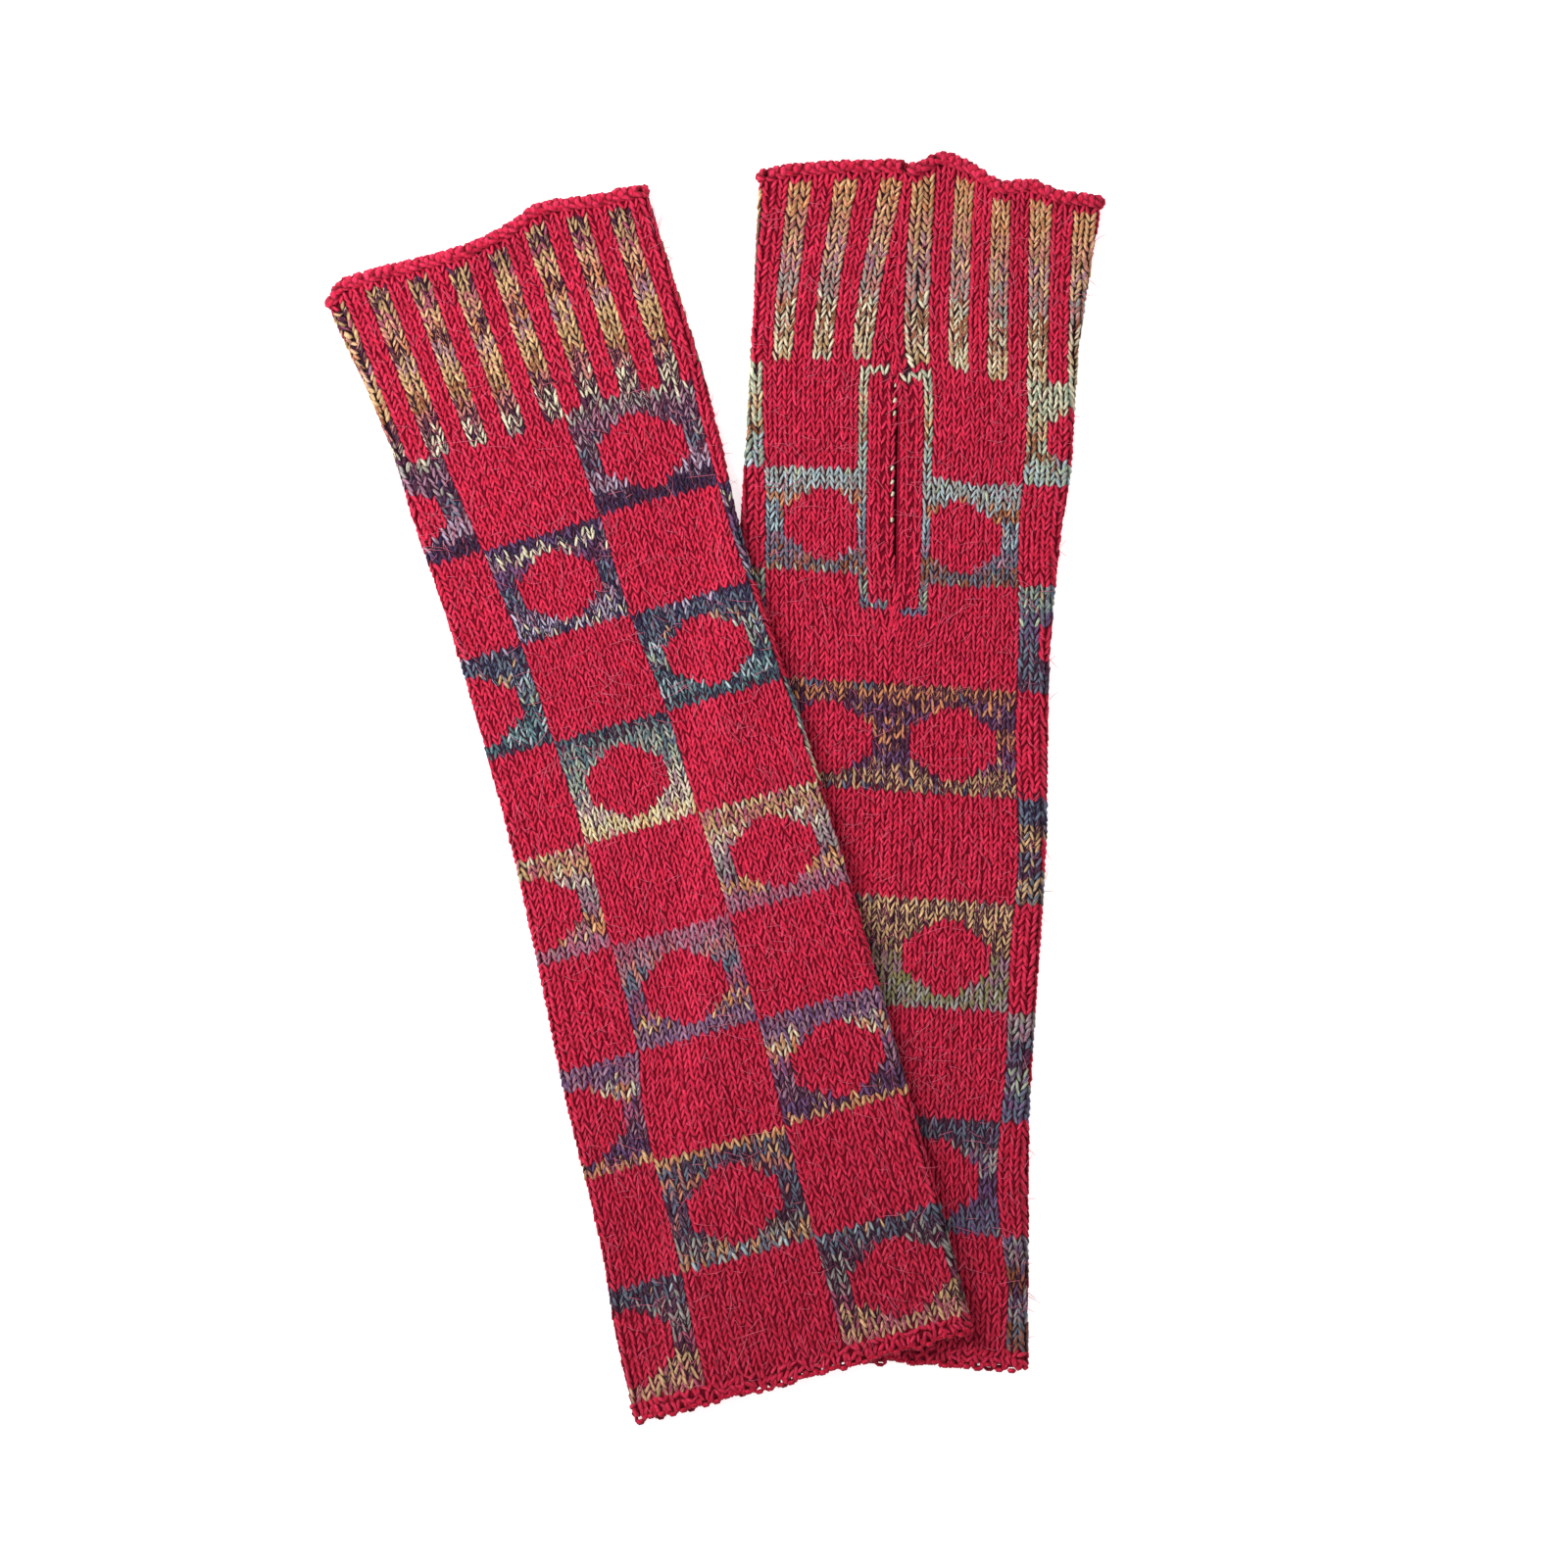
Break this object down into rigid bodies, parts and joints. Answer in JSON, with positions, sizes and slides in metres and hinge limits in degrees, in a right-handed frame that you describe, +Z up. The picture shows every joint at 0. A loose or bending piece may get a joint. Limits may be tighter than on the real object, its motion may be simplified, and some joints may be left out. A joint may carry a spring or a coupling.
{
  "type": "pair of knitted arm warmers",
  "caption": "Knitted forearm tubes laid flat, one partly on the other, with a rolled top edge, a plain hem and a thumb slit in the palm seam.",
  "frame": {"origin": "centre of the bottom of the pair's bounding box, on the surface it lies on", "axes": "+Z up from that surface, +Y along the arms towards the hands, +X to the right as seen from above"},
  "size_m": [0.2244, 0.3666, 0.0089],
  "materials": {
    "check_knit": "brushed wool and mohair stockinette, red with space-dyed checks and stripes",
    "red_edge": "brushed wool and mohair, plain red, looped"
  },
  "bodies": {
    "root": {"over_body": "check_knit", "over_top_roll": "red_edge", "over_hem": "red_edge", "under_body": "check_knit", "under_top_roll": "red_edge", "under_hem": "red_edge"}
  },
  "joints": []
}
